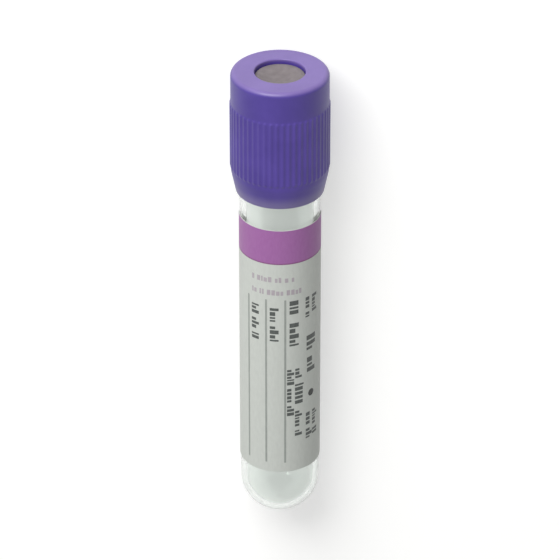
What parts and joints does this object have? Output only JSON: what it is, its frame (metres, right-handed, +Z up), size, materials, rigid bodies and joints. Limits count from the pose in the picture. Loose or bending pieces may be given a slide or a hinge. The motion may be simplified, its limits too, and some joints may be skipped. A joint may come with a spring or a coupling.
{
  "type": "blood collection tube",
  "caption": "Round-bottomed clear tube of 13 mm by 75 mm with a rubber stopper in a fluted violet shield and a paper label, for drawing and spinning blood.",
  "frame": {"origin": "middle of the lying tube's footprint, on the surface that it lies on", "axes": "+X along the tube towards its closure (the tube's own axis rises 1.45 degrees towards +X), +Z up, out of the middle of the label"},
  "size_m": [0.0822, 0.016, 0.0163],
  "materials": {
    "clear_plastic": "gloss",
    "grey_rubber": "matte",
    "violet_plastic": "satin",
    "label_paper": "matte",
    "orchid_ink": "matte",
    "grey_ink": "matte"
  },
  "bodies": {
    "tube": {"tube_body": "clear_plastic", "label": "label_paper"},
    "closure": {"cap_shield": "violet_plastic", "stopper": "grey_rubber"}
  },
  "joints": [
    {"name": "closure_pull", "type": "slide", "parent": "tube", "child": "closure", "axis": [0.9997, 0, 0.0254], "range_m": [0, 0.025]}
  ]
}
